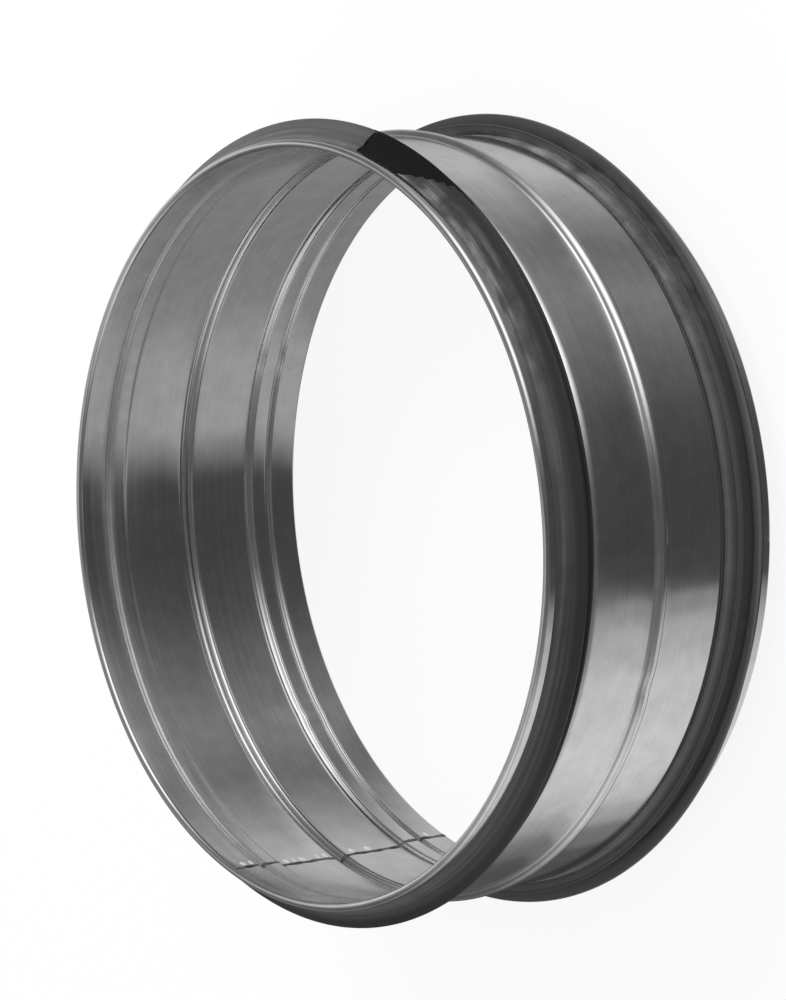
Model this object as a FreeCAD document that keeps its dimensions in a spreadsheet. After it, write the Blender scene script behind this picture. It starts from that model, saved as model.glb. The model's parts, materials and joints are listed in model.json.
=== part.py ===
import FreeCAD, Part
import math
import os
import Sketcher

# Duct connector: a rolled sheet sleeve with a stop bead round the middle and a lipped gasket near each end.
# It stands on its rear end. The sleeve's axis is +Z from the floor up, and the weld seam is on the +X side.

# Driving dimensions, in millimetres. Places along the sleeve are measured from the nearer rim.
SIZES = (
    ("duct_diameter", 200.0, "inside of the duct that slides over each end"),
    ("duct_clearance", 0.6, "radial gap between that duct and the sleeve"),
    ("sleeve_length", 74.0, "rim to rim"),
    ("sheet_thickness", 0.6, "rolled sheet"),
    ("hem_gap", 1.1, "space inside the folded rim"),
    ("hem_reach", 2.8, "rim to the free edge of the fold"),
    ("neck_depth", 1.4, "step down from the sleeve to the gasket's seat"),
    ("neck_length", 14.5, "rim to the foot of the shoulder"),
    ("shoulder_foot", 1.2, "bend at the neck's side of the shoulder, on the bore side"),
    ("shoulder_crest", 0.8, "bend at the sleeve's side of the shoulder, on the bore side"),
    ("rib_place", 9.5, "rim to the middle of the rib that grips the gasket"),
    ("rib_height", 0.9, "rise of the rib"),
    ("rib_foot", 1.0, "bend at each side of the rib, on the bore side"),
    ("rib_crest", 0.6, "bend over the rib, on the bore side"),
    ("bead_height", 2.0, "rise of the stop bead"),
    ("bead_foot", 1.6, "bend at each side of the stop bead, on the bore side"),
    ("bead_crest", 1.2, "bend over the stop bead, on the bore side"),
    ("weld_width", 1.8, "weld along the seam"),
    ("weld_height", 0.25, "rise of the weld into the bore"),
    ("seat_gap", 0.05, "gap between the gasket and the sheet"),
    ("tongue_setback", 0.3, "gap ahead of the gasket's tongue inside the fold"),
    ("tip_thickness", 0.9, "lip at its edge"),
    ("tip_round", 0.55, "rounding of a lip's edge"),
    ("front_lip_reach", 5.25, "rise of the front lip above the sleeve"),
    ("front_lip_tip", 8.9, "rim to the back of the front lip's edge"),
    ("front_lip_root", 3.4, "front lip where it leaves the base"),
    ("front_lip_bend", 12.0, "hollow of the front lip's faces"),
    ("back_lip_reach", 2.7, "rise of the back lip above the sleeve"),
    ("back_lip_tip", 12.9, "rim to the back of the back lip's edge"),
    ("back_lip_place", 8.4, "rim to the front of the back lip's root"),
    ("back_lip_root", 2.8, "back lip where it leaves the base"),
    ("back_lip_bend", 9.0, "hollow of the back lip's faces"),
)

doc = FreeCAD.newDocument("duct_connector")
sheet = doc.addObject("Spreadsheet::Sheet", "Sizes")
for row, (alias, value, meaning) in enumerate(SIZES, start=1):
    sheet.set("A%d" % row, alias)
    sheet.set("B%d" % row, str(value))
    sheet.set("C%d" % row, meaning)
    sheet.setAlias("B%d" % row, alias)
doc.recompute()

# Formulas that several outlines share, written for the sheet
LENGTH = "Sizes.sleeve_length"
SHEET = "Sizes.sheet_thickness"
BODY_OUTER = "(Sizes.duct_diameter / 2 - Sizes.duct_clearance)"
BODY_INNER = "(%s - %s)" % (BODY_OUTER, SHEET)
NECK_INNER = "(%s - Sizes.neck_depth)" % BODY_INNER
NECK_OUTER = "(%s + %s)" % (NECK_INNER, SHEET)
HEM_BEND = "(Sizes.hem_gap / 2 + %s)" % SHEET
SEAT = "(%s + Sizes.seat_gap)" % NECK_OUTER


def bend_run(foot, crest, rise):
    """Length along the sleeve of two bends that meet smoothly and climb by rise."""
    return "sqrt((%s + %s)^2 - (%s + %s - %s)^2)" % (foot, crest, foot, crest, rise)


RIB_RUN = bend_run("Sizes.rib_foot", "Sizes.rib_crest", "Sizes.rib_height")
SHOULDER_RUN = bend_run("Sizes.shoulder_foot", "Sizes.shoulder_crest", "Sizes.neck_depth")
BEAD_RUN = bend_run("Sizes.bead_foot", "Sizes.bead_crest", "Sizes.bead_height")

# Turns a sketch upright, with its first axis along +X and its second along +Z
UPRIGHT = FreeCAD.Placement(FreeCAD.Vector(), FreeCAD.Rotation(FreeCAD.Vector(1, 0, 0), 90))


def arc_between(start, end, radius, bulge):
    """Arc from start to end that bulges away from the sleeve's axis (out) or towards it (in)."""
    chord = end - start
    middle = (start + end) / 2
    height = math.sqrt(max(radius ** 2 - (chord.Length / 2) ** 2, 0.0))
    across = FreeCAD.Vector(-chord.y, chord.x, 0).normalize()
    if (across.x > 0) == (bulge == "out"):
        across = -across
    centre = middle + across * height
    crown = centre + (middle - centre).normalize() * radius if height else middle - across * radius
    return Part.Arc(start, crown, end)


def bind(sketch, constraint, formula):
    """Adds one constraint whose size follows a formula of the sheet."""
    index = sketch.addConstraint(constraint)
    sketch.setExpression("Constraints[%d]" % index, formula)


def draw_outline(sketch, corners, edges):
    """Draws a chain of lines and arcs through corners given as (radius, height) formulas.

    Each edge is None for a line, or a bulge and a radius formula for an arc. A chain with as many edges as corners
    closes on itself.
    """
    points = []
    for radius, height in corners:
        points.append(FreeCAD.Vector(sheet.evalExpression(radius), sheet.evalExpression(height), 0))
    start_of = []
    end_of = []
    for index, edge in enumerate(edges):
        start = points[index]
        end = points[(index + 1) % len(points)]
        if edge is None:
            geometry = sketch.addGeometry(Part.LineSegment(start, end))
            start_of.append((geometry, 1))
            end_of.append((geometry, 2))
        else:
            bulge, formula = edge
            size = sheet.evalExpression(formula)
            geometry = sketch.addGeometry(arc_between(start, end, size, bulge))
            forward = (sketch.getPoint(geometry, 1) - start).Length < (sketch.getPoint(geometry, 2) - start).Length
            start_of.append((geometry, 1 if forward else 2))
            end_of.append((geometry, 2 if forward else 1))
            bind(sketch, Sketcher.Constraint("Radius", geometry, size), formula)
    for index in range(1, len(edges)):
        sketch.addConstraint(Sketcher.Constraint("Coincident", *end_of[index - 1], *start_of[index]))
    ends = list(start_of)
    if len(edges) == len(corners):
        sketch.addConstraint(Sketcher.Constraint("Coincident", *end_of[-1], *start_of[0]))
    else:
        ends.append(end_of[-1])
    for (geometry, end), point, (radius, height) in zip(ends, points, corners):
        bind(sketch, Sketcher.Constraint("DistanceX", -1, 1, geometry, end, point.x), radius)
        bind(sketch, Sketcher.Constraint("DistanceY", -1, 1, geometry, end, point.y), height)


def bend_turn(start_radius, foot, crest, rise):
    """Where two bends meet: the radius there, and the first bend's share of the run and of the rise."""
    foot_share = "(Sizes.%s / (Sizes.%s + Sizes.%s))" % (foot, foot, crest)
    return "(%s + %s * %s)" % (start_radius, rise, foot_share), foot_share


def sheet_line():
    """Corners and edges of the sheet's bore side, from the free edge of one hem to that of the other."""
    corners = []
    edges = []

    def step(radius, height, edge=None):
        if corners:
            edges.append(edge)
        corners.append((radius, height))

    # Hem folded outwards round the rim
    hem_outer = "(%s + 2 * %s)" % (NECK_INNER, HEM_BEND)
    step(hem_outer, "Sizes.hem_reach")
    step(hem_outer, HEM_BEND)
    step("(%s + %s)" % (NECK_INNER, HEM_BEND), "0", ("out", HEM_BEND))
    step(NECK_INNER, HEM_BEND, ("in", HEM_BEND))

    # Rib in the neck
    turn_radius, foot_share = bend_turn(NECK_INNER, "rib_foot", "rib_crest", "Sizes.rib_height")
    turn_offset = "(%s * (1 - %s))" % (RIB_RUN, foot_share)
    step(NECK_INNER, "(Sizes.rib_place - %s)" % RIB_RUN)
    step(turn_radius, "(Sizes.rib_place - %s)" % turn_offset, ("in", "Sizes.rib_foot"))
    step(turn_radius, "(Sizes.rib_place + %s)" % turn_offset, ("out", "Sizes.rib_crest"))
    step(NECK_INNER, "(Sizes.rib_place + %s)" % RIB_RUN, ("in", "Sizes.rib_foot"))

    # Shoulder up to the sleeve
    turn_radius, foot_share = bend_turn(NECK_INNER, "shoulder_foot", "shoulder_crest", "Sizes.neck_depth")
    step(NECK_INNER, "Sizes.neck_length")
    step(turn_radius, "(Sizes.neck_length + %s * %s)" % (SHOULDER_RUN, foot_share), ("in", "Sizes.shoulder_foot"))
    step(BODY_INNER, "(Sizes.neck_length + %s)" % SHOULDER_RUN, ("out", "Sizes.shoulder_crest"))

    # Near side of the stop bead
    turn_radius, foot_share = bend_turn(BODY_INNER, "bead_foot", "bead_crest", "Sizes.bead_height")
    step(BODY_INNER, "(%s / 2 - %s)" % (LENGTH, BEAD_RUN))
    step(turn_radius, "(%s / 2 - %s * (1 - %s))" % (LENGTH, BEAD_RUN, foot_share), ("in", "Sizes.bead_foot"))

    # Crest of the bead, then the same line back to the other rim
    mirrored = [(radius, "(%s - %s)" % (LENGTH, height)) for radius, height in reversed(corners)]
    edges_back = list(reversed(edges))
    edges.append(("out", "Sizes.bead_crest"))
    return corners + mirrored, edges + edges_back


def make_revolution(name, face, angle):
    """Turns a section round the sleeve's axis by an angle formula, evenly to both sides of the section."""
    turned = doc.addObject("Part::Revolution", name)
    turned.Source = face
    turned.Axis = FreeCAD.Vector(0, 0, 1)
    turned.Solid = True
    turned.Symmetric = True
    turned.setExpression("Angle", angle)
    return turned


def make_weld_run(name, start, end):
    """Weld along one plain run of the sleeve, from one place on it to another."""
    section = doc.addObject("Sketcher::SketchObject", name + "_section")
    section.Placement = UPRIGHT
    crown = "(%s - Sizes.weld_height)" % BODY_INNER
    root = "(%s + %s / 2)" % (BODY_INNER, SHEET)
    draw_outline(section, [(root, start), (root, end), (crown, end), (crown, start)], [None] * 4)
    return make_revolution(name, section, "Sizes.weld_width / %s * 180 / pi" % BODY_INNER)


def make_steel_sleeve():
    """Rolled sheet, welded along the seam between the shoulders and the bead."""
    line = doc.addObject("Sketcher::SketchObject", "sheet_line")
    line.Placement = UPRIGHT
    draw_outline(line, *sheet_line())
    doc.recompute()

    section = doc.addObject("Part::Offset2D", "wall_section")
    section.Source = line
    section.Mode = "Skin"
    section.Fill = True
    section.setExpression("Value", "-" + SHEET)
    wall = make_revolution("wall", section, "360")

    # The bends are rolled after the seam is welded, and flatten it there
    rear_start = "(Sizes.neck_length + %s)" % SHOULDER_RUN
    rear_end = "(%s / 2 - %s)" % (LENGTH, BEAD_RUN)
    rear_weld = make_weld_run("rear_weld", rear_start, rear_end)
    front_weld = make_weld_run("front_weld", "(%s - %s)" % (LENGTH, rear_end), "(%s - %s)" % (LENGTH, rear_start))

    sleeve = doc.addObject("Part::MultiFuse", "steel_sleeve")
    sleeve.Shapes = [wall, rear_weld, front_weld]
    sleeve.Label = "steel_sleeve"
    return sleeve


def lip(reach, tip, bend):
    """Two corners of a lip's edge, and the edges of its front face, rounded end and back face."""
    radius = "(%s + Sizes.%s)" % (BODY_OUTER, reach)
    corners = [(radius, "(Sizes.%s - Sizes.tip_thickness)" % tip), (radius, "Sizes.%s" % tip)]
    face = ("in", "Sizes.%s" % bend)
    return corners, [face, ("out", "Sizes.tip_round"), face]


def gasket_outline():
    """Corners and edges of the gasket's section, with heights from the rim that it sits behind."""
    tongue_outer = "(%s + Sizes.hem_gap - 2 * Sizes.seat_gap)" % SEAT
    tongue_front = "(%s + Sizes.tongue_setback)" % HEM_BEND
    base_front = "(Sizes.hem_reach + Sizes.seat_gap)"
    base_back = "(Sizes.neck_length - Sizes.seat_gap)"
    groove_half = "(%s + Sizes.seat_gap)" % RIB_RUN
    groove_arc = "((%s^2 + Sizes.rib_height^2) / (2 * Sizes.rib_height))" % groove_half
    front_corners, front_edges = lip("front_lip_reach", "front_lip_tip", "front_lip_bend")
    back_corners, back_edges = lip("back_lip_reach", "back_lip_tip", "back_lip_bend")

    # Tongue under the hem
    corners = [(SEAT, tongue_front), (tongue_outer, tongue_front), (tongue_outer, base_front)]
    edges = [None, None, None]
    # Front lip
    corners += [(BODY_OUTER, base_front)] + front_corners
    corners += [(BODY_OUTER, "(%s + Sizes.front_lip_root)" % base_front)]
    edges += front_edges + [None]
    # Back lip
    corners += [(BODY_OUTER, "Sizes.back_lip_place")] + back_corners
    corners += [(BODY_OUTER, "(Sizes.back_lip_place + Sizes.back_lip_root)")]
    edges += back_edges + [None]
    # Back of the base, and its seat with the groove over the rib
    corners += [(BODY_OUTER, base_back), (SEAT, base_back)]
    corners += [(SEAT, "(Sizes.rib_place + %s)" % groove_half), (SEAT, "(Sizes.rib_place - %s)" % groove_half)]
    edges += [None, None, ("out", groove_arc), None]
    return corners, edges


def origin_feature(body, role):
    """The body's own origin plane or axis of that role."""
    return next(feature for feature in body.Origin.OriginFeatures if feature.Role == role)


def make_gasket(label):
    """Rubber ring with two lips, drawn as it sits at the rear end."""
    body = doc.addObject("PartDesign::Body", label)
    body.Label = label
    section = body.newObject("Sketcher::SketchObject", label + "_section")
    section.AttachmentSupport = [(origin_feature(body, "XZ_Plane"), "")]
    section.MapMode = "FlatFace"
    draw_outline(section, *gasket_outline())
    doc.recompute()
    ring = body.newObject("PartDesign::Revolution", label + "_ring")
    ring.Profile = section
    ring.ReferenceAxis = (section, ["V_Axis"])
    ring.Angle = 360
    body.Tip = ring
    return body


steel_sleeve = make_steel_sleeve()
rear_gasket = make_gasket("rear_gasket")
front_gasket = make_gasket("front_gasket")

# The front gasket is the same ring turned over at the other end
front_gasket.Placement.Rotation = FreeCAD.Rotation(FreeCAD.Vector(1, 0, 0), 180)
front_gasket.setExpression("Placement.Base.z", LENGTH)
doc.recompute()

SUB_PARTS = (steel_sleeve, rear_gasket, front_gasket)
for item in doc.Objects:
    if "Invalid" in item.State or "Error" in item.State:
        raise RuntimeError("%s did not build: %s" % (item.Label, item.State))
for item in SUB_PARTS:
    if item.Shape.isNull() or not item.Shape.isValid() or len(item.Shape.Solids) != 1:
        raise RuntimeError("%s is not one valid solid" % item.Label)

os.makedirs("parts", exist_ok=True)
for item in SUB_PARTS:
    item.Shape.exportStep(os.path.join("parts", item.Label + ".step"))
    print("%-14s volume %9.1f mm3  box %s" % (item.Label, item.Shape.Volume, item.Shape.BoundBox))
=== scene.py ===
"""Looks of the duct connector: galvanised steel sleeve, two rubber gaskets, studio and camera."""
import json
import math

import bpy
from mathutils import Matrix, Vector


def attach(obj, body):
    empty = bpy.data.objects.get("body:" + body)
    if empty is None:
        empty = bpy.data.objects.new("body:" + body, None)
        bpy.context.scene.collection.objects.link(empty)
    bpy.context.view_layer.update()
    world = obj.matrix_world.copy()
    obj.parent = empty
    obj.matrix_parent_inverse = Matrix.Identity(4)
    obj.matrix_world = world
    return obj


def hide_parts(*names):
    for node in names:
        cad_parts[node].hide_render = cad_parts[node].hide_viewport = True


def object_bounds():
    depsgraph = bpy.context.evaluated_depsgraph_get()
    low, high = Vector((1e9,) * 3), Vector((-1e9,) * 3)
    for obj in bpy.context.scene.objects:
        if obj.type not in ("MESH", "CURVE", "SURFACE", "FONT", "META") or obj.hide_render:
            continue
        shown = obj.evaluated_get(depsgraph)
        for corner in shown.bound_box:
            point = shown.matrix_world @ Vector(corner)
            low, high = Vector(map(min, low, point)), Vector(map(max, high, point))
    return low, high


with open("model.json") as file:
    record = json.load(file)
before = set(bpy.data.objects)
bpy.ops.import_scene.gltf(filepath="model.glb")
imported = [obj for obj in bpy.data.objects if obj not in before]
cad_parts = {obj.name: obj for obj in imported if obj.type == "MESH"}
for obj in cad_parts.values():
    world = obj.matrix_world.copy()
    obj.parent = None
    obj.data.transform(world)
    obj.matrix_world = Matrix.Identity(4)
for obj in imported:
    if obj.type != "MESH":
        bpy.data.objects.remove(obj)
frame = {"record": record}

CAD_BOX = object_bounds()
LENGTH = CAD_BOX[1][2] - CAD_BOX[0][2]
MM = 0.001


def mount_radius(name):
    """Radius, in metres, that the record gives for a mount."""
    mount = next(mount for mount in frame["record"]["mounts"] if mount["name"] == name)
    return mount["dims"]["r_mm"] * MM


# Sheet sleeve, the same section as its solid but for a softer crest on the shoulders.
# Places along it are measured from the nearer rim.
NECK_INNER = mount_radius("air_way")
BODY_OUTER = mount_radius("front_spigot")
SHEET = 0.6 * MM
BODY_INNER = BODY_OUTER - SHEET
NECK_OUTER = NECK_INNER + SHEET
NECK_DEPTH = BODY_INNER - NECK_INNER
NECK_LENGTH = 14.5 * MM
HEM_GAP = 1.1 * MM
HEM_REACH = 2.8 * MM
HEM_BEND = HEM_GAP / 2 + SHEET
SHOULDER_FOOT = 1.2 * MM
SHOULDER_CREST = 2.4 * MM
RIB_PLACE = 9.5 * MM
RIB_HEIGHT = 0.9 * MM
RIB_FOOT = 1.0 * MM
RIB_CREST = 0.6 * MM
BEAD_HEIGHT = 2.0 * MM
BEAD_FOOT = 1.6 * MM
BEAD_CREST = 1.2 * MM

# The wall's slight lead-in to the bead on the front side
LEAD_REACH = 6.0 * MM
LEAD_RISE = 0.35 * MM

# Shallow dents: (angle from +X, height, width round the wall, height of the dent, depth)
DENTS = ((math.radians(-93), 10 * MM, 2.5 * MM, 6 * MM, 0.3 * MM),
         (math.radians(-32), 12 * MM, 2.5 * MM, 7 * MM, 0.4 * MM),
         (math.radians(87), LENGTH / 2, 3 * MM, 3 * MM, 0.4 * MM))
# A dent ends this many widths from its middle
DENT_EDGE = 3

# Gasket, the same section as its solid
SEAT_GAP = 0.05 * MM
TONGUE_SETBACK = 0.3 * MM
TIP_THICKNESS = 0.9 * MM
TIP_ROUND = 0.55 * MM
FRONT_LIP_REACH = 5.25 * MM
FRONT_LIP_TIP = 8.9 * MM
FRONT_LIP_ROOT = 3.4 * MM
FRONT_LIP_BEND = 12.0 * MM
BACK_LIP_REACH = 2.7 * MM
BACK_LIP_TIP = 12.9 * MM
BACK_LIP_PLACE = 8.4 * MM
BACK_LIP_ROOT = 2.8 * MM
BACK_LIP_BEND = 9.0 * MM

# Seam inside the sleeve, near +X
SEAM_WIDTH = 1.5 * MM
SEAM_RISE = 0.12 * MM
SEAM_ROOT = 0.03 * MM
SEAM_DRIFT = 2.1 * MM
SEAM_WANDER = 0.1 * MM
SEAM_SPACING = 0.35 * MM
SEAM_POINTS = 7
SEAM_RIM_LEAN = math.radians(40)
SPOT_PITCH = 2.7 * MM
SPOT_LENGTH = 2.0 * MM
SPOT_WIDTH = 2.5 * MM
SPOT_RISE = 0.12 * MM
SPOT_OFFSET = -1.95 * MM
SPOT_RINGS = 4
SPOT_SIDES = 14
SPOT_LEAN = math.radians(8)
# In each group of spots, the one with this number is missing
SPOT_GROUP = 5
SPOT_MISSING = 3

# Splice of the front gasket, from one angle from +X to another
SPLICE_START = math.radians(184.5)
SPLICE_END = math.radians(161)
SPLICE_TAPER = 0.4
SPLICE_RAGGED = math.radians(0.5)
# Share of the lip's face that the smear leaves bare at its far end, and how that share grows
SPLICE_BARE = 0.92
SPLICE_BARE_CURVE = 0.8
SPLICE_THICKNESS = 0.1 * MM
SPLICE_STEPS = 48
SPLICE_POINTS = 14

# Unevenness of what was made by hand: sine waves as (rate, size, shift)
SEAM_WAVES = ((0.55, 1.0, 0.0), (1.31, 0.6, 1.0))
SEAM_RIPPLES = ((1.9, 0.35, 0.0), (0.83, 0.25, 0.0))
SEAM_WIDTHS = ((0.37, 0.2, 0.6),)
SPOT_SIZES = ((2.1, 0.3, 0.0),)
SPLICE_START_WAVES = ((2.4, 1.0, 0.0), (1.1, 0.6, 0.0))
SPLICE_EDGE_WAVES = ((1.7, 0.05, 0.0),)

# Meshes
SEGMENTS = 340
ARC_STEPS = 6
SHARP_ANGLE = math.radians(35)
# Places closer than this are the same
TOUCHING = 0.001 * MM
# How far before its last point a face ends, in steps between its points
LAST_STEP = 0.001

# Camera: where it stands about the sleeve, and where the front rim's centre shows in the picture
PICTURE_WIDTH = 786
PICTURE_HEIGHT = 1000
FRONT_CENTRE_PIXEL = (296.8, 527.0)
LENS = 180.0
SENSOR = 36.0
CAMERA_DEPTH = 1.289
CAMERA_AZIMUTH = math.radians(115.13)
CAMERA_ELEVATION = math.radians(38.32)
CAMERA_ROLL = math.radians(-95.04)
CLIP_END = 20.0

# Finishes: colours, and shares from 0 to 1
STEEL_DARK = (0.52, 0.522, 0.53, 1.0)
STEEL_LIGHT = (0.66, 0.66, 0.665, 1.0)
NECK_DULLNESS = 0.11
RIB_DULLNESS = 0.25
DULLING_RUN = 14 * MM
# Where the dull strip over the rib ends and where it is full, in runs of the rib from its middle
RIB_DULL_END = 1.8
RIB_DULL_FULL = 0.8
FRONT_DARK = (0.022, 0.022, 0.023, 1.0)
FRONT_DUST_AND_SHEEN = (0.26, 0.26, 0.262, 1.0)
FRONT_ROUGH = 0.45
# The rear rubber is painted lighter than the front one: painted light that lifts the far gasket in the
# sleeve's shade
REAR_DARK = (0.11, 0.11, 0.111, 1.0)
REAR_DUST_AND_SHEEN = (0.35, 0.35, 0.352, 1.0)
REAR_ROUGH = 0.8
# Painted shade that darkens the back lip's edge, and its share there
LIP_EDGE_SHADE = (0.02, 0.02, 0.02, 1.0)
LIP_EDGE_SHADE_SHARE = 0.6
# Painted sheen, streaked, on one side of the front gasket
FRONT_SIDE_SHEEN = 0.55
# Share of the front lip's reach from its root over which the dust and painted sheen fade out
DUST_AND_SHEEN_SHARE = 0.75
RUBBER_SPECULAR = 0.35
ROUGH_SPREAD = 0.07
# The painted side sheen, and the speckled dust and painted sheen, lie on these sides, as angles from +X.
# Each begins, and is full, where the ring faces its side by these cosines.
SHEEN_SIDE = math.radians(-138)
SHEEN_SPAN = (0.68, 0.84)
SPECKLED_SIDE = math.radians(177)
SPECKLED_SPAN = (0.64, 0.9)
# Weld tones: scale, and painted shadow of the lap's edge
SCALE_AND_SHADOW_DARK = (0.05, 0.05, 0.052, 1.0)
SCALE_AND_SHADOW_LIGHT = (0.2, 0.2, 0.205, 1.0)
SPOT_BRIGHT = (0.95, 0.95, 0.95, 1.0)
GLUE_DARK = (0.006, 0.006, 0.006, 1.0)
GLUE_LIGHT = (0.014, 0.014, 0.014, 1.0)

# Noise over the surfaces: grains a metre, detail and how the grain is stretched
DRAWN_LINES = {"scale": 1.0, "detail": 4.0, "stretch": (9.0, 9.0, 1500.0)}
MOTTLE = {"scale": 210.0, "detail": 5.0}
WAVES = {"scale": 22.0, "detail": 1.0, "stretch": (1.0, 1.0, 0.6)}
STREAKS = {"scale": 1.0, "detail": 4.0, "stretch": (16.0, 16.0, 1500.0)}
DUST = {"scale": 140.0, "detail": 5.0}
PATCHES = {"scale": 1.0, "detail": 5.0, "stretch": (120.0, 120.0, 900.0)}
SPANGLE_SCALE = 130.0
LINE_DEPTH = 0.003 * MM
WAVE_DEPTH = 0.2 * MM
STREAK_DEPTH = 0.03 * MM
DUST_DEPTH = 0.02 * MM

# How noise becomes an amount: (lowest and highest noise, the amounts for those)
MOTTLE_SPAN = (0.3, 0.7, 0.0, 0.55)
SPANGLE_SPAN = (0.0, 1.0, 0.0, 0.25)
STEEL_TONES = (0.35, 1.35, 0.0, 1.0)
STEEL_ROUGH = (0.3, 0.7, 0.11, 0.16)
SPECKLE_SPAN = (0.3, 0.6, 0.0, 1.0)
PATCH_SPAN = (0.35, 0.55, 0.15, 1.0)
FILM_STREAKS = (0.3, 0.7, 0.1, 0.5)
FILM_DUST = (0.3, 0.7, 0.7, 1.0)
SHEEN_STREAKS = (0.3, 0.7, 0.4, 1.0)
RUBBER_DUST = (0.3, 0.7)

# Finishes with one fine grain: its noise, its depth, two colours, the noise between them, and the surface
# The weld's dark tones are partly scale and partly painted shadow of the lap's edge
WELD_SCALE_AND_SHADOW = {"grain": {"scale": 420.0, "detail": 3.0}, "depth": 0.05 * MM,
              "tones": (SCALE_AND_SHADOW_DARK, SCALE_AND_SHADOW_LIGHT), "span": (0.35, 0.65),
              "surface": {"Metallic": 0.7, "Roughness": 0.5}}
WELD_METAL = {"grain": {"scale": 600.0, "detail": 3.0}, "depth": 0.03 * MM,
              "tones": (STEEL_LIGHT, SPOT_BRIGHT), "span": (0.0, 1.0),
              "surface": {"Metallic": 0.2, "Roughness": 0.5}}
GLUE = {"grain": {"scale": 900.0, "detail": 3.0}, "depth": 0.04 * MM,
        "tones": (GLUE_DARK, GLUE_LIGHT), "span": (0.0, 1.0),
        "surface": {"Roughness": 0.85, "Specular IOR Level": 0.08}}

# Studio
FLOOR_SIZE = 12.0
FLOOR_COLOUR = (0.95, 0.95, 0.95, 1.0)
FLOOR_GLOW = 0.88
CARD_REACH = 0.16
CARD_DROP = 0.001
# (azimuth of the wall in degrees, brightness of the card that it reflects)
CARD_TONES = ((107, 0.09), (103, 0.1), (100, 0.36), (96, 0.62), (88, 0.84), (77, 0.92), (67, 0.8),
              (62, 0.55), (57, 0.26), (50, 0.12), (45, 0.1), (35, 0.1), (25, 0.12))
AMBIENT = (0.55, 0.55, 0.55, 1.0)
WHITE = (1.0, 1.0, 1.0, 1.0)
# (name, azimuth and elevation in degrees, distance and size in metres, watts)
LAMPS = (("top", -148, 40, 1.6, 1.0, 14),
         ("front", 115, 60, 1.6, 1.2, 3),
         ("low", 10, 45, 1.6, 1.0, 4))

# Surround that the steel reflects: (azimuth in degrees, brightness) below the horizon, above it and overhead
LOW_BANDS = ((-180, 0.3), (-161, 0.22), (-141, 0.44), (-121, 0.7), (-101, 0.57), (-81, 0.42), (-61, 0.33),
             (19, 0.31), (39, 0.34), (59, 0.5), (82, 0.52), (97, 0.08), (119, 0.08), (139, 0.1), (159, 0.19),
             (180, 0.31))
HIGH_BANDS = ((-180, 1.8), (-168, 1.8), (-156, 0.9), (-140, 0.35), (-125, 0.2), (-108, 0.2), (-98, 0.5),
              (-88, 0.85), (-78, 0.9), (-70, 0.6), (-62, 0.35), (-48, 0.18), (-28, 0.13), (-16, 0.13),
              (-8, 0.25), (5, 0.5), (20, 0.9), (40, 0.95), (55, 0.7), (72, 0.28), (90, 0.15), (105, 0.13),
              (120, 0.15), (130, 0.3), (143, 1.2), (153, 1.8), (180, 1.8))
TOP_BANDS = ((-180, 0.4), (-140, 0.35), (-110, 0.2), (-80, 0.2), (-60, 0.5), (-45, 0.6), (-10, 0.6),
             (10, 0.5), (30, 0.3), (60, 0.22), (90, 0.15), (110, 0.13), (130, 0.15), (150, 0.4), (180, 0.4))
# Heights of a direction between which the low bands give way to the high ones, and those to the top ones
RISE_SPAN = (-0.55, 0.1)
TOP_SPAN = (0.55, 0.85)


def bend_turn(foot, crest, rise, start):
    """Steepest lean of two bends that meet smoothly and climb by rise from a wall that leans by start."""
    return math.acos((foot * math.cos(start) + crest - rise) / (foot + crest))


def bend_run(foot, crest, rise, start=0.0):
    """Length along the sleeve of those two bends."""
    turn = bend_turn(foot, crest, rise, start)
    return foot * (math.sin(turn) - math.sin(start)) + crest * math.sin(turn)


RIB_RUN = bend_run(RIB_FOOT, RIB_CREST, RIB_HEIGHT)


def climb(radius, height, foot, crest, rise, start=0.0):
    """Line up two bends from a place on the wall, as (radius, height, lean towards the outside)."""
    turn = bend_turn(foot, crest, rise, start)
    top = radius + rise
    end = height + bend_run(foot, crest, rise, start)
    points = []
    for step in range(ARC_STEPS + 1):
        lean = start + (turn - start) * step / ARC_STEPS
        points.append((radius + foot * (math.cos(start) - math.cos(lean)),
                       height + foot * (math.sin(lean) - math.sin(start)), lean))
    for step in range(1, ARC_STEPS + 1):
        lean = turn * (1 - step / ARC_STEPS)
        points.append((top - crest * (1 - math.cos(lean)), end - crest * math.sin(lean), lean))
    return points


def descend(points, middle):
    """The same bends going down again on the far side of a middle height."""
    return [(radius, 2 * middle - height, -lean) for radius, height, lean in reversed(points)]


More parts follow.
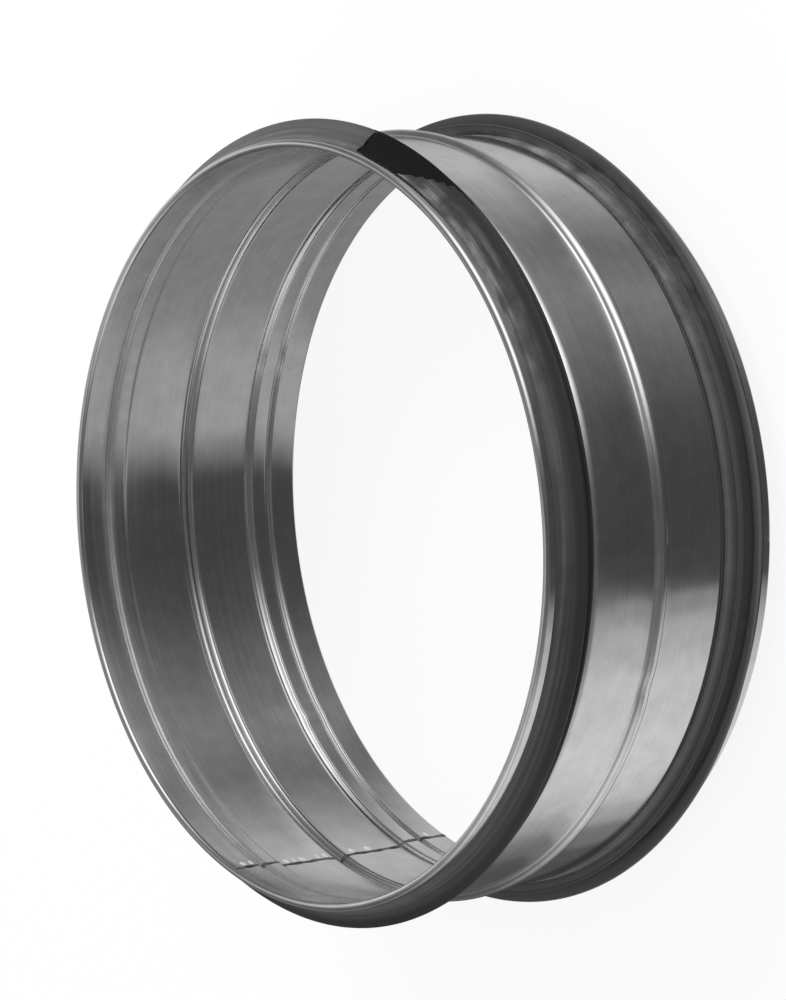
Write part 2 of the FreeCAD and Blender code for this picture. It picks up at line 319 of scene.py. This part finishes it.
def half_line(lead_rise):
    """Bore side of the sheet from the free edge of a hem to the bead's crown, with a lead-in to the bead."""
    hem_outer = NECK_INNER + 2 * HEM_BEND
    line = [(hem_outer, HEM_REACH, -math.pi)]
    for step in range(2 * ARC_STEPS + 1):
        lean = -math.pi * (1 - step / (2 * ARC_STEPS))
        line.append((NECK_INNER + HEM_BEND * (1 - math.cos(lean)), HEM_BEND * (1 + math.sin(lean)), lean))
    rib = climb(NECK_INNER, RIB_PLACE - RIB_RUN, RIB_FOOT, RIB_CREST, RIB_HEIGHT)
    line += rib + descend(rib, RIB_PLACE)[1:]
    line += climb(NECK_INNER, NECK_LENGTH, SHOULDER_FOOT, SHOULDER_CREST, NECK_DEPTH)
    bead_rise = BEAD_HEIGHT - lead_rise
    bead_lean = math.atan(2 * lead_rise / LEAD_REACH)
    bead_start = LENGTH / 2 - bend_run(BEAD_FOOT, BEAD_CREST, bead_rise, bead_lean)
    for step in range(ARC_STEPS):
        lead = step / ARC_STEPS
        line.append((BODY_INNER + lead_rise * lead ** 2, bead_start - LEAD_REACH * (1 - lead),
                     math.atan(2 * lead * lead_rise / LEAD_REACH)))
    return line + climb(BODY_INNER + lead_rise, bead_start, BEAD_FOOT, BEAD_CREST, bead_rise, bead_lean)


def sheet_line():
    """Bore side of the sheet from the free edge of the rear hem to that of the front hem."""
    return half_line(0.0) + descend(half_line(LEAD_RISE), LENGTH / 2)[1:]


def sheet_outline():
    """Closed section of the sheet: its outer side, and back along its bore side."""
    inner = []
    outer = []
    for radius, height, lean in sheet_line():
        inner.append((radius, height))
        outer.append((radius + SHEET * math.cos(lean), height - SHEET * math.sin(lean)))
    return outer + inner[::-1]


def arc_between(start, end, radius, bulge):
    """Points of an arc after start, up to end, which bulges out from the sleeve's axis or in towards it."""
    chord = end - start
    middle = (start + end) / 2
    height = math.sqrt(max(radius ** 2 - (chord.length / 2) ** 2, 0.0))
    across = Vector((-chord.y, chord.x)).normalized()
    if (across.x > 0) == (bulge == "out"):
        across.negate()
    centre = middle + across * height
    first = start - centre
    sweep = first.angle_signed(end - centre)
    if height == 0.0:
        sweep = math.copysign(math.pi, -across.cross(first))
    points = []
    for step in range(1, ARC_STEPS + 1):
        turn = Matrix.Rotation(-sweep * step / ARC_STEPS, 2)
        points.append(centre + turn @ first)
    return points


def gasket_outline():
    """Closed section of the gasket, with heights from the rim that it sits behind."""
    seat = NECK_OUTER + SEAT_GAP
    tongue_outer = seat + HEM_GAP - 2 * SEAT_GAP
    tongue_front = HEM_BEND + TONGUE_SETBACK
    base_front = HEM_REACH + SEAT_GAP
    base_back = NECK_LENGTH - SEAT_GAP
    groove_half = RIB_RUN + SEAT_GAP
    groove_arc = (groove_half ** 2 + RIB_HEIGHT ** 2) / (2 * RIB_HEIGHT)
    front_face = ("in", FRONT_LIP_BEND)
    back_face = ("in", BACK_LIP_BEND)
    tip = ("out", TIP_ROUND)
    front_edge = BODY_OUTER + FRONT_LIP_REACH
    back_edge = BODY_OUTER + BACK_LIP_REACH
    steps = (
        # tongue under the hem
        (seat, tongue_front, None), (tongue_outer, tongue_front, None), (tongue_outer, base_front, None),
        # front lip
        (BODY_OUTER, base_front, front_face), (front_edge, FRONT_LIP_TIP - TIP_THICKNESS, tip),
        (front_edge, FRONT_LIP_TIP, front_face), (BODY_OUTER, base_front + FRONT_LIP_ROOT, None),
        # back lip
        (BODY_OUTER, BACK_LIP_PLACE, back_face), (back_edge, BACK_LIP_TIP - TIP_THICKNESS, tip),
        (back_edge, BACK_LIP_TIP, back_face), (BODY_OUTER, BACK_LIP_PLACE + BACK_LIP_ROOT, None),
        # back of the base, and its seat with the groove over the rib
        (BODY_OUTER, base_back, None), (seat, base_back, None),
        (seat, RIB_PLACE + groove_half, ("out", groove_arc)), (seat, RIB_PLACE - groove_half, None),
    )
    points = []
    for index, (radius, height, edge) in enumerate(steps):
        start = Vector((radius, height))
        end = Vector(steps[(index + 1) % len(steps)][:2])
        if edge is None:
            points.append(end)
        else:
            points += arc_between(start, end, edge[1], edge[0])
    return [(point.x, point.y) for point in points]


def dented(radius, height, angle):
    """Radius of the sheet where handling has pushed it in a little."""
    for place, middle, width, tall, depth in DENTS:
        turned = (angle - place + math.pi) % (2 * math.pi) - math.pi
        if abs(turned * radius) < DENT_EDGE * width:
            radius -= depth * math.exp(-(turned * radius / width) ** 2 - ((height - middle) / tall) ** 2)
    return radius


def make_mesh(name, vertices, faces):
    """Smooth mesh piece from points and faces."""
    mesh = bpy.data.meshes.new(name)
    mesh.from_pydata(vertices, [], faces)
    mesh.validate()
    mesh.shade_smooth()
    mesh.set_sharp_from_angle(angle=SHARP_ANGLE)
    piece = bpy.data.objects.new(name, mesh)
    bpy.context.collection.objects.link(piece)
    return piece


def lathe(name, outline, reshape=None):
    """Ring whose closed section is turned round the sleeve's axis; reshape varies the radius round it."""
    count = len(outline)
    vertices = []
    faces = []
    for turn in range(SEGMENTS):
        angle = 2 * math.pi * turn / SEGMENTS
        across = math.cos(angle)
        along = math.sin(angle)
        section = outline
        if reshape is not None:
            section = [(reshape(radius, height, angle), height) for radius, height in outline]
        vertices += [(radius * across, radius * along, height) for radius, height in section]
        here = turn * count
        there = (turn + 1) % SEGMENTS * count
        for index in range(count):
            after = (index + 1) % count
            faces.append((here + index, there + index, there + after, here + after))
    return make_mesh(name, vertices, faces)


def tube_faces(rings, count):
    """Faces of a closed tube whose points come in rings of one count."""
    faces = []
    for ring in range(1, rings):
        here = ring * count
        before = here - count
        for point in range(count):
            after = (point + 1) % count
            faces.append((before + point, here + point, here + after, before + after))
    faces.append(tuple(range(count)))
    faces.append(tuple(reversed(range((rings - 1) * count, rings * count))))
    return faces


def sway(place, waves):
    """Sum of sine waves, each given as (rate, size, shift)."""
    return sum(size * math.sin(place * rate + shift) for rate, size, shift in waves)


def level(angle):
    """Level direction at an angle from +X."""
    return Vector((math.cos(angle), math.sin(angle), 0.0))


def new_tree(owner):
    """Empties a material's or world's node tree and returns it."""
    owner.use_nodes = True
    owner.node_tree.nodes.clear()
    return owner.node_tree


def add(tree, kind, inputs=None, **settings):
    """Adds a node; inputs maps a socket's name or index to a value or to the socket that feeds it."""
    node = tree.nodes.new(kind)
    for name, value in settings.items():
        setattr(node, name, value)
    for key, value in (inputs or {}).items():
        if isinstance(value, bpy.types.NodeSocket):
            tree.links.new(value, node.inputs[key])
        else:
            node.inputs[key].default_value = value
    return node


def noise(tree, coordinates, scale, detail, stretch=(1.0, 1.0, 1.0)):
    """Soft noise from 0 to 1 over the surface, with its grain stretched along the axes."""
    mapping = add(tree, "ShaderNodeMapping", {"Vector": coordinates, "Scale": stretch})
    inputs = {"Vector": mapping.outputs[0], "Scale": scale, "Detail": detail}
    return add(tree, "ShaderNodeTexNoise", inputs).outputs[0]


def spread(tree, value, low, high, darkest=0.0, lightest=1.0):
    """Maps a value from one range to another, without going past it."""
    inputs = {"Value": value, "From Min": low, "From Max": high, "To Min": darkest, "To Max": lightest}
    return add(tree, "ShaderNodeMapRange", inputs).outputs[0]


def maths(tree, operation, first, second=0.0):
    """Result of an operation on one value or two."""
    return add(tree, "ShaderNodeMath", {0: first, 1: second}, operation=operation).outputs[0]


def times(tree, first, second):
    """Product of two values."""
    return maths(tree, "MULTIPLY", first, second)


def towards(tree, direction, side):
    """How far a direction points to one side, from -1 to 1."""
    inputs = {0: direction, 1: side}
    return add(tree, "ShaderNodeVectorMath", inputs, operation="DOT_PRODUCT").outputs["Value"]


def blend(tree, factor, first, second):
    """Mixes two colours."""
    return add(tree, "ShaderNodeMix", {"Factor": factor, 6: first, 7: second}, data_type="RGBA").outputs[2]


def bump(tree, height, distance, normal=None):
    """Turns a height from 0 to 1 into relief of that depth in metres."""
    inputs = {"Height": height, "Distance": distance, "Strength": 1.0}
    if normal is not None:
        inputs["Normal"] = normal
    return add(tree, "ShaderNodeBump", inputs).outputs[0]


def make_steel():
    """Galvanised sheet: faint spangle, lines drawn round the ring, a wavy wall and a duller front neck."""
    material = bpy.data.materials.new("galvanised_sheet")
    tree = new_tree(material)
    here = add(tree, "ShaderNodeTexCoord").outputs["Object"]
    lines = noise(tree, here, **DRAWN_LINES)
    mottle = noise(tree, here, **MOTTLE)
    waves = noise(tree, here, **WAVES)
    cells = add(tree, "ShaderNodeTexVoronoi", {"Vector": here, "Scale": SPANGLE_SCALE})
    spangle = add(tree, "ShaderNodeRGBToBW", {0: cells.outputs["Color"]}).outputs[0]
    tone = maths(tree, "ADD", spread(tree, mottle, *MOTTLE_SPAN), lines)
    tone = maths(tree, "ADD", tone, spread(tree, spangle, *SPANGLE_SPAN))
    colour = blend(tree, spread(tree, tone, *STEEL_TONES), STEEL_DARK, STEEL_LIGHT)
    height = add(tree, "ShaderNodeSeparateXYZ", {0: here}).outputs["Z"]
    shoulder = LENGTH - NECK_LENGTH
    hem = LENGTH - HEM_REACH
    past_shoulder = spread(tree, height, shoulder - DULLING_RUN, shoulder, 0.0, NECK_DULLNESS)
    before_hem = spread(tree, height, hem, hem - HEM_BEND)
    from_rib = maths(tree, "ABSOLUTE", maths(tree, "SUBTRACT", height, LENGTH - RIB_PLACE))
    over_rib = spread(tree, from_rib, RIB_DULL_END * RIB_RUN, RIB_DULL_FULL * RIB_RUN, 0.0, RIB_DULLNESS)
    dull = maths(tree, "ADD", times(tree, past_shoulder, before_hem), over_rib)
    rough = maths(tree, "ADD", spread(tree, lines, *STEEL_ROUGH), dull)
    relief = bump(tree, lines, LINE_DEPTH, bump(tree, waves, WAVE_DEPTH))
    shader = add(tree, "ShaderNodeBsdfPrincipled",
                 {"Base Color": colour, "Metallic": 1.0, "Roughness": rough, "Normal": relief})
    add(tree, "ShaderNodeOutputMaterial", {"Surface": shader.outputs["BSDF"]})
    return material


def make_rubber(name, dark, dust_and_sheen_colour, rough, side_sheen_share):
    """Extruded rubber: dust and painted sheen at the root, streaks, painted sheen on one side, painted shade
    on the back lip's edge.
    """
    material = bpy.data.materials.new(name)
    tree = new_tree(material)
    here = add(tree, "ShaderNodeTexCoord").outputs["Object"]
    axes = add(tree, "ShaderNodeSeparateXYZ", {0: here}).outputs
    flat = add(tree, "ShaderNodeCombineXYZ", {0: axes["X"], 1: axes["Y"]}).outputs[0]
    reach = add(tree, "ShaderNodeVectorMath", {0: flat}, operation="LENGTH").outputs["Value"]
    radial = add(tree, "ShaderNodeVectorMath", {0: flat}, operation="NORMALIZE").outputs["Vector"]
    around = add(tree, "ShaderNodeCombineXYZ", {0: axes["X"], 1: axes["Y"], 2: reach}).outputs[0]
    streaks = noise(tree, around, **STREAKS)
    dust = noise(tree, here, **DUST)
    patches = noise(tree, around, **PATCHES)
    # Dust and painted sheen on the lips' faces: speckled on one side, a streaky film elsewhere, fading from
    # the root outwards
    speckle = times(tree, spread(tree, streaks, *SPECKLE_SPAN), spread(tree, dust, *SPECKLE_SPAN))
    speckle = times(tree, speckle, spread(tree, patches, *PATCH_SPAN))
    film = times(tree, spread(tree, streaks, *FILM_STREAKS), spread(tree, dust, *FILM_DUST))
    speckled = spread(tree, towards(tree, radial, level(SPECKLED_SIDE)), *SPECKLED_SPAN)
    amount = add(tree, "ShaderNodeMix", {"Factor": speckled, 2: film, 3: speckle}).outputs[0]
    root = spread(tree, reach, BODY_OUTER + FRONT_LIP_REACH * DUST_AND_SHEEN_SHARE, BODY_OUTER)
    # Painted sheen, streaked, on one side of the ring
    on_sheen_side = spread(tree, towards(tree, radial, level(SHEEN_SIDE)), *SHEEN_SPAN, 0.0, side_sheen_share)
    side_sheen = times(tree, on_sheen_side, spread(tree, streaks, *SHEEN_STREAKS))
    amount = maths(tree, "MAXIMUM", times(tree, amount, root), side_sheen)
    colour = blend(tree, amount, dark, dust_and_sheen_colour)
    # Painted shade on the edge of the back lip
    from_middle = maths(tree, "ABSOLUTE", maths(tree, "SUBTRACT", axes["Z"], LENGTH / 2))
    back_lip_end = LENGTH / 2 - BACK_LIP_TIP
    on_back_lip = spread(tree, from_middle, LENGTH / 2 - FRONT_LIP_TIP, back_lip_end + TIP_THICKNESS)
    back_edge = BODY_OUTER + BACK_LIP_REACH
    at_edge = spread(tree, reach, back_edge - TIP_THICKNESS, back_edge, 0.0, LIP_EDGE_SHADE_SHARE)
    colour = blend(tree, times(tree, on_back_lip, at_edge), colour, LIP_EDGE_SHADE)
    relief = bump(tree, streaks, STREAK_DEPTH, bump(tree, dust, DUST_DEPTH))
    roughness = spread(tree, dust, *RUBBER_DUST, rough - ROUGH_SPREAD, rough + ROUGH_SPREAD)
    shader = add(tree, "ShaderNodeBsdfPrincipled",
                 {"Base Color": colour, "Roughness": roughness, "Specular IOR Level": RUBBER_SPECULAR,
                  "Normal": relief})
    add(tree, "ShaderNodeOutputMaterial", {"Surface": shader.outputs["BSDF"]})
    return material


def make_grained(name, grain, depth, tones, span, surface):
    """Finish whose tone and relief follow one fine grain."""
    material = bpy.data.materials.new(name)
    tree = new_tree(material)
    here = add(tree, "ShaderNodeTexCoord").outputs["Object"]
    height = noise(tree, here, **grain)
    colour = blend(tree, spread(tree, height, *span), *tones)
    inputs = {"Base Color": colour, "Normal": bump(tree, height, depth)}
    shader = add(tree, "ShaderNodeBsdfPrincipled", {**inputs, **surface})
    add(tree, "ShaderNodeOutputMaterial", {"Surface": shader.outputs["BSDF"]})
    return material


def dress(piece, material):
    """Gives a piece its finish and lets it ride with the part."""
    piece.data.materials.append(material)
    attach(piece, "root")


def make_sleeve(steel):
    """Sheet that stands for the sleeve's solid."""
    sheet = lathe("steel_sleeve_sheet", sheet_outline(), dented)
    dress(sheet, steel)
    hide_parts("steel_sleeve")


def seam_place(height):
    """Centre of the seam at a height: how far round the wall from +X it lies, in metres."""
    return SEAM_DRIFT * (height / LENGTH - 0.5) + SEAM_WANDER * sway(height / MM, SEAM_WAVES)


def wall_point(radius, height, lean, across, proud):
    """Point beside the seam's middle, standing proud of the bore side of the wall."""
    radius -= proud * math.cos(lean)
    height += proud * math.sin(lean)
    angle = (seam_place(height) + across) / radius
    return (radius * math.cos(angle), radius * math.sin(angle), height)


def line_length(line):
    """Length of a line of (radius, height, lean)."""
    return sum(math.hypot(r1 - r0, h1 - h0) for (r0, h0, a0), (r1, h1, a1) in zip(line, line[1:]))


def walk(line, distance):
    """Place on a line of (radius, height, lean) at a distance from its start."""
    for (r0, h0, a0), (r1, h1, a1) in zip(line, line[1:]):
        length = math.hypot(r1 - r0, h1 - h0)
        if distance < length:
            part = distance / length
            return (r0 + (r1 - r0) * part, h0 + (h1 - h0) * part, a0 + (a1 - a0) * part)
        distance -= length
    return line[-1]


def bore_line():
    """Bore side of the wall, from the bend of one rim to that of the other."""
    line = sheet_line()
    wall = [index for index, (radius, height, lean) in enumerate(line) if abs(lean) < SEAM_RIM_LEAN]
    return line[wall[0]:wall[-1] + 1]


def make_seam():
    """Weld line along the lap of the sheet, from rim to rim inside the sleeve, dark with scale and with
    painted shadow of the lap's edge.
    """
    vertices = []
    line = bore_line()
    steps = round(line_length(line) / SEAM_SPACING)
    for number in range(steps + 1):
        radius, height, lean = walk(line, number * SEAM_SPACING)
        ripple = 1.0 + sway(number, SEAM_RIPPLES)
        width = SEAM_WIDTH * (1.0 + sway(number, SEAM_WIDTHS))
        vertices.append(wall_point(radius, height, lean, 0.0, -SEAM_ROOT))
        for point in range(SEAM_POINTS):
            side = 2 * point / (SEAM_POINTS - 1) - 1
            proud = SEAM_RISE * ripple * (1 - side ** 2) - SEAM_ROOT * side ** 2
            vertices.append(wall_point(radius, height, lean, side * width / 2, proud))
    seam = make_mesh("seam_weld_line", vertices, tube_faces(steps + 1, SEAM_POINTS + 1))
    dress(seam, make_grained("weld_scale_and_shadow", **WELD_SCALE_AND_SHADOW))


def make_weld_spots():
    """Bright spot welds beside the seam's line, closer together on its front half."""
    vertices = []
    faces = []
    line = bore_line()
    for number in range(1, int(line_length(line) / SPOT_PITCH)):
        place = number * SPOT_PITCH
        size = 1.0 + sway(number, SPOT_SIZES)
        ends = (walk(line, place - size * SPOT_LENGTH / 2), walk(line, place + size * SPOT_LENGTH / 2))
        missing = number % SPOT_GROUP == SPOT_MISSING or (number % 2 and ends[1][1] < LENGTH / 2)
        if missing or max(abs(lean) for radius, height, lean in ends) > SPOT_LEAN:
            continue
        first = len(vertices)
        for ring in range(SPOT_RINGS):
            out = (SPOT_RINGS - ring) / SPOT_RINGS
            proud = SPOT_RISE * (1 - out ** 2) - SEAM_ROOT * out
            for step in range(SPOT_SIDES):
                turn = 2 * math.pi * step / SPOT_SIDES
                along = size * SPOT_LENGTH / 2 * out * math.cos(turn)
                across = SPOT_OFFSET + SPOT_WIDTH / 2 * out * math.sin(turn)
                vertices.append(wall_point(*walk(line, place + along), across, proud))
        vertices.append(wall_point(*walk(line, place), SPOT_OFFSET, SPOT_RISE))
        vertices.append(wall_point(*walk(line, place), SPOT_OFFSET, -2 * SEAM_ROOT))
        root = len(vertices) - 1
        crown = root - 1
        for step in range(SPOT_SIDES):
            after = (step + 1) % SPOT_SIDES
            for ring in range(SPOT_RINGS - 1):
                low = first + ring * SPOT_SIDES
                high = low + SPOT_SIDES
                faces.append((low + step, low + after, high + after, high + step))
            last = first + (SPOT_RINGS - 1) * SPOT_SIDES
            faces.append((last + step, last + after, crown))
            faces.append((first + after, first + step, root))
    spots = make_mesh("seam_weld_spots", vertices, faces)
    dress(spots, make_grained("weld_metal", **WELD_METAL))


def front_face():
    """Front face and half the edge of the front lip, as (radius, height from the rim), root first."""
    section = gasket_outline()
    first = next(index for index, (radius, height) in enumerate(section)
                 if abs(radius - BODY_OUTER) < TOUCHING and height < FRONT_LIP_TIP / 2)
    return section[first:first + ARC_STEPS + ARC_STEPS // 2 + 1]


def along_face(face, share):
    """Point at a share of the way along the face, and the direction that the face looks in."""
    last = len(face) - 1
    place = min(share * last, last - LAST_STEP)
    index = int(place)
    start = Vector(face[index])
    end = Vector(face[index + 1])
    along = (end - start).normalized()
    return start.lerp(end, place - index), Vector((along.y, -along.x))


def make_splice():
    """Matte smear of glue where the front gasket's ends meet: ragged at its start, tapering on the edge."""
    face = front_face()
    vertices = []
    for step in range(SPLICE_STEPS + 1):
        part = step / SPLICE_STEPS
        bare = SPLICE_BARE * max(0.0, (part - SPLICE_TAPER) / (1 - SPLICE_TAPER)) ** SPLICE_BARE_CURVE
        bare += part * sway(step, SPLICE_EDGE_WAVES)
        for layer in (SPLICE_THICKNESS, -SPLICE_THICKNESS):
            for number in range(SPLICE_POINTS + 1):
                point = number if layer > 0 else SPLICE_POINTS - number
                share = max(0.0, bare + (1 - bare) * point / SPLICE_POINTS)
                (radius, height), facing = along_face(face, share)
                ragged = SPLICE_RAGGED * sway(point, SPLICE_START_WAVES) * (1 - part)
                angle = SPLICE_START + ragged + (SPLICE_END - SPLICE_START) * part
                out = radius + layer * facing.x
                vertices.append((out * math.cos(angle), out * math.sin(angle),
                                 LENGTH - height - layer * facing.y))
    splice = make_mesh("gasket_splice", vertices, tube_faces(SPLICE_STEPS + 1, 2 * (SPLICE_POINTS + 1)))
    dress(splice, make_grained("gasket_glue", **GLUE))


def make_gaskets():
    """The two rings of rubber, the front one turned over, which stand for their solids."""
    section = gasket_outline()
    turned_over = [(radius, LENGTH - height) for radius, height in reversed(section)]
    # The rear rubber's lighter tones are painted light for the gasket in shade
    rear_rubber = make_rubber("rear_rubber", REAR_DARK, REAR_DUST_AND_SHEEN, REAR_ROUGH, 0.0)
    front_rubber = make_rubber("front_rubber", FRONT_DARK, FRONT_DUST_AND_SHEEN, FRONT_ROUGH, FRONT_SIDE_SHEEN)
    for node_name, outline, rubber in (("rear_gasket", section, rear_rubber),
                                       ("front_gasket", turned_over, front_rubber)):
        ring = lathe(node_name + "_ring", outline)
        dress(ring, rubber)
        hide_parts(node_name)


def straight_to_background(tree):
    """1 for rays that come from the camera or on through a clear thing, 0 for the rest."""
    light_path = add(tree, "ShaderNodeLightPath").outputs
    return maths(tree, "MAXIMUM", light_path["Is Camera Ray"], light_path["Is Transmission Ray"])


def make_floor():
    """White floor that keeps the part's faint shadow."""
    bpy.ops.mesh.primitive_plane_add(size=FLOOR_SIZE)
    floor = bpy.context.object
    floor.name = "floor"
    floor.visible_glossy = False
    material = bpy.data.materials.new("floor")
    tree = new_tree(material)
    diffuse = add(tree, "ShaderNodeBsdfDiffuse", {"Color": FLOOR_COLOUR})
    glow = add(tree, "ShaderNodeEmission", {"Strength": 1.0})
    share = times(tree, straight_to_background(tree), FLOOR_GLOW)
    mix = add(tree, "ShaderNodeMixShader", {0: share, 1: diffuse.outputs[0], 2: glow.outputs[0]})
    add(tree, "ShaderNodeOutputMaterial", {"Surface": mix.outputs[0]})
    floor.data.materials.append(material)


def make_card():
    """Graded card round the sleeve's foot, which only the outside of the steel reflects."""
    vertices = []
    faces = []
    tones = []
    for number, (wall_angle, brightness) in enumerate(CARD_TONES):
        wall = math.radians(wall_angle)
        foot = level(wall) * BODY_OUTER - Vector((0.0, 0.0, CARD_DROP))
        vertices += [foot, foot + level(2 * wall - CAMERA_AZIMUTH) * CARD_REACH]
        tones += [brightness, brightness]
        if number:
            faces.append((2 * number - 2, 2 * number - 1, 2 * number + 1, 2 * number))
    mesh = bpy.data.meshes.new("card")
    mesh.from_pydata(vertices, [], faces)
    mesh.attributes.new("tone", "FLOAT", "POINT").data.foreach_set("value", tones)
    card = bpy.data.objects.new("card", mesh)
    bpy.context.collection.objects.link(card)
    material = bpy.data.materials.new("card")
    tree = new_tree(material)
    tone = add(tree, "ShaderNodeAttribute", attribute_name="tone").outputs["Fac"]
    glow = add(tree, "ShaderNodeEmission", {"Strength": tone})
    add(tree, "ShaderNodeOutputMaterial", {"Surface": glow.outputs[0]})
    mesh.materials.append(material)


def band_ramp(tree, turn, bands):
    """Brightness of the surround by azimuth."""
    ramp = add(tree, "ShaderNodeValToRGB", {0: turn})
    stops = ramp.color_ramp.elements
    while len(stops) > 1:
        stops.remove(stops[-1])
    for number, (azimuth, brightness) in enumerate(bands):
        position = azimuth / 360 + 0.5
        stop = stops[0] if number == 0 else stops.new(position)
        stop.position = position
        stop.color = (brightness, brightness, brightness, 1.0)
    return ramp.outputs[0]


def make_world():
    """White to the camera, a graded surround to the steel's reflections and an even grey to the rest."""
    world = bpy.data.worlds.new("studio")
    bpy.context.scene.world = world
    world.cycles.sampling_method = "NONE"
    tree = new_tree(world)
    direction = add(tree, "ShaderNodeTexCoord").outputs["Generated"]
    axes = add(tree, "ShaderNodeSeparateXYZ", {0: direction}).outputs
    turn = spread(tree, maths(tree, "ARCTAN2", axes["Y"], axes["X"]), -math.pi, math.pi)
    low = band_ramp(tree, turn, LOW_BANDS)
    high = band_ramp(tree, turn, HIGH_BANDS)
    top = band_ramp(tree, turn, TOP_BANDS)
    surround = blend(tree, spread(tree, axes["Z"], *RISE_SPAN), low, high)
    surround = blend(tree, spread(tree, axes["Z"], *TOP_SPAN), surround, top)
    even = add(tree, "ShaderNodeBackground", {"Color": AMBIENT}).outputs[0]
    graded = add(tree, "ShaderNodeBackground", {"Color": surround}).outputs[0]
    white = add(tree, "ShaderNodeBackground", {"Color": WHITE}).outputs[0]
    reflected = add(tree, "ShaderNodeLightPath").outputs["Is Glossy Ray"]
    light = add(tree, "ShaderNodeMixShader", {0: reflected, 1: even, 2: graded}).outputs[0]
    straight = straight_to_background(tree)
    shown = add(tree, "ShaderNodeMixShader", {0: straight, 1: light, 2: white}).outputs[0]
    add(tree, "ShaderNodeOutputWorld", {"Surface": shown})


def make_camera():
    """Camera that shows the front rim's centre at its place in the picture."""
    data = bpy.data.cameras.new("camera")
    data.lens = LENS
    data.sensor_width = SENSOR
    data.clip_end = CLIP_END
    camera = bpy.data.objects.new("camera", data)
    bpy.context.collection.objects.link(camera)
    turn = (Matrix.Rotation(CAMERA_AZIMUTH + math.pi / 2, 4, "Z")
            @ Matrix.Rotation(math.pi / 2 - CAMERA_ELEVATION, 4, "X")
            @ Matrix.Rotation(CAMERA_ROLL, 4, "Z"))
    metres_per_pixel = CAMERA_DEPTH * SENSOR / LENS / PICTURE_HEIGHT
    right = (FRONT_CENTRE_PIXEL[0] - PICTURE_WIDTH / 2) * metres_per_pixel
    up = (PICTURE_HEIGHT / 2 - FRONT_CENTRE_PIXEL[1]) * metres_per_pixel
    front_centre = Vector((0.0, 0.0, LENGTH))
    camera.matrix_world = Matrix.Translation(front_centre - turn @ Vector((right, up, -CAMERA_DEPTH))) @ turn
    bpy.context.scene.camera = camera


def make_lamp(name, azimuth, elevation, distance, size, watts):
    """Round soft lamp that looks at the origin and doesn't show in the steel."""
    data = bpy.data.lights.new(name, "AREA")
    data.shape = "DISK"
    data.size = size
    data.energy = watts
    lamp = bpy.data.objects.new(name, data)
    bpy.context.collection.objects.link(lamp)
    lamp.visible_glossy = False
    lift = math.radians(elevation)
    way = level(math.radians(azimuth)) * math.cos(lift) + Vector((0.0, 0.0, math.sin(lift)))
    lamp.location = way * distance
    lamp.rotation_euler = way.to_track_quat("Z", "Y").to_euler()


bpy.context.scene.view_settings.view_transform = "Standard"
make_camera()
make_world()
make_floor()
make_card()
for lamp in LAMPS:
    make_lamp(*lamp)
make_sleeve(make_steel())
make_seam()
make_weld_spots()
make_gaskets()
make_splice()
